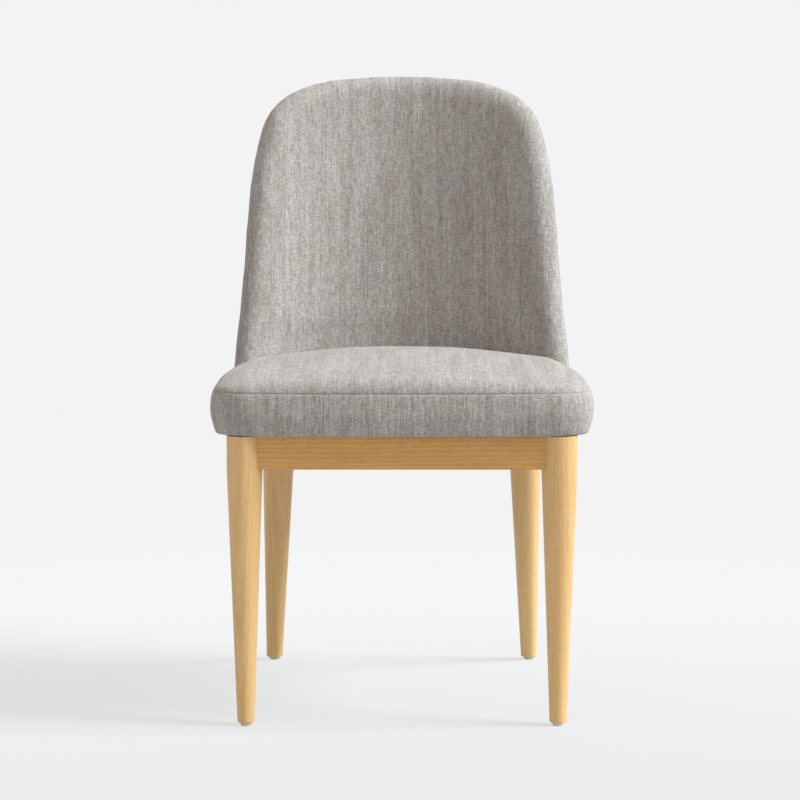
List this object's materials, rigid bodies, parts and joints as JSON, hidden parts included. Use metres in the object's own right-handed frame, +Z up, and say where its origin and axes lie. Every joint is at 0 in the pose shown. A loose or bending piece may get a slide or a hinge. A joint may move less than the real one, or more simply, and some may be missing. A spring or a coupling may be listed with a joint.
{
  "type": "upholstered dining chair",
  "caption": "Upholstered dining chair with a curved, rounded padded back and a crowned boxed seat in woven fabric, on round tapered oak legs joined by rails.",
  "frame": {"origin": "on the floor, under the middle of the chair's width and depth", "axes": "+Z up, the seat's front faces -Y, +X is the chair's right side as seen from the front"},
  "size_m": [0.498, 0.5592, 0.84],
  "materials": {
    "oak": "natural oak, satin lacquer",
    "beech": "planed beech, bare",
    "plywood": "birch plywood, bare",
    "foam": "polyurethane foam",
    "upholstery": "heathered light warm grey weave",
    "dust_cloth": "black non-woven cloth",
    "glide": "moulded pale plastic",
    "zinc_steel": "zinc plated"
  },
  "bodies": {
    "root": {"back_bolt_inserts": "zinc_steel", "back_bolt_washers": "zinc_steel", "back_bolts": "zinc_steel", "back_cover_inside": "upholstery", "back_cover_outside": "upholstery", "back_foam": "foam", "back_padding": "foam", "back_panel": "plywood", "corner_block_screws": "zinc_steel", "dust_cover": "dust_cloth", "dust_cover_staples": "zinc_steel", "front_left_corner_block": "beech", "front_left_glide": "glide", "front_left_leg": "oak", "front_rail": "oak", "front_right_corner_block": "beech", "front_right_glide": "glide", "front_right_leg": "oak", "glide_nails": "zinc_steel", "left_rail": "oak", "leg_bolt_nuts": "zinc_steel", "leg_bolt_washers": "zinc_steel", "leg_hanger_bolts": "zinc_steel", "rail_dowels": "beech", "rear_left_corner_block": "beech", "rear_left_glide": "glide", "rear_left_leg": "oak", "rear_rail": "oak", "rear_right_corner_block": "beech", "rear_right_glide": "glide", "rear_right_leg": "oak", "right_rail": "oak", "seat_board": "plywood", "seat_cover_boxing": "upholstery", "seat_cover_top": "upholstery", "seat_fixing_screws": "zinc_steel", "seat_foam": "foam"}
  },
  "joints": []
}
